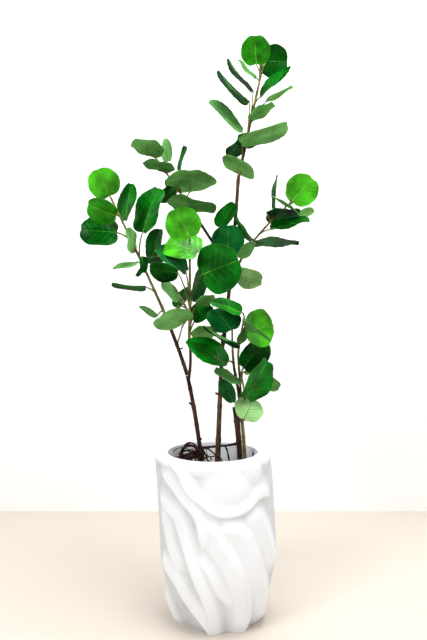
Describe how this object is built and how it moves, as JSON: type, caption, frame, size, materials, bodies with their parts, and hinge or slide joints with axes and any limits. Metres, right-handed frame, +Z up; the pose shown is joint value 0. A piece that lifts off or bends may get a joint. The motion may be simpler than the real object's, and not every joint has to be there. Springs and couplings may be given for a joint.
{
  "type": "artificial potted coccoloba",
  "caption": "Artificial coccoloba shrub with slim dark stems and round leaves, in a tall white planter with folds down its wall.",
  "frame": {"origin": "on the planter's flat underside, below the middle of its filling", "axes": "+Z up along the planter's axis, -Y the front seen in the picture, +X to the right in the picture"},
  "size_m": [0.718, 0.4411, 1.7492],
  "materials": {
    "planter": "matte white fibreglass",
    "fill": "dark brown pressed filling",
    "bark_dark": "rough dark brown bark",
    "bark_brown": "rough brown bark",
    "bark_green": "green-brown bark",
    "root": "dark red-brown vine",
    "leaf_bright": "bright green satin leaf",
    "leaf_mixed": "mid green satin leaf",
    "leaf_pale": "pale green matte leaf",
    "leaf_dark": "dark green satin leaf"
  },
  "bodies": {
    "root": {"planter": "planter", "planter_fill": "fill", "trunk_left": "bark_dark", "trunk_middle": "bark_brown", "stub_right": "bark_dark", "stem_right": "bark_green", "bough_left": "bark_dark", "bough_centre_left": "bark_dark", "bough_tall": "bark_brown", "bough_right": "bark_brown", "bough_upper_left": "bark_brown", "bough_low_right": "bark_green", "root_hump": "root", "root_hump_low": "root", "root_arc": "root", "root_fork": "root", "root_strand": "root", "root_tip_right": "root", "foliage_top": "leaf_mixed", "foliage_upper_left": "leaf_pale", "foliage_left": "leaf_bright", "foliage_inner": "leaf_pale", "foliage_centre_left": "leaf_dark", "foliage_centre": "leaf_dark", "foliage_right": "leaf_dark", "foliage_low_centre": "leaf_dark", "foliage_low_right": "leaf_bright", "foliage_foot": "leaf_dark"}
  },
  "joints": []
}
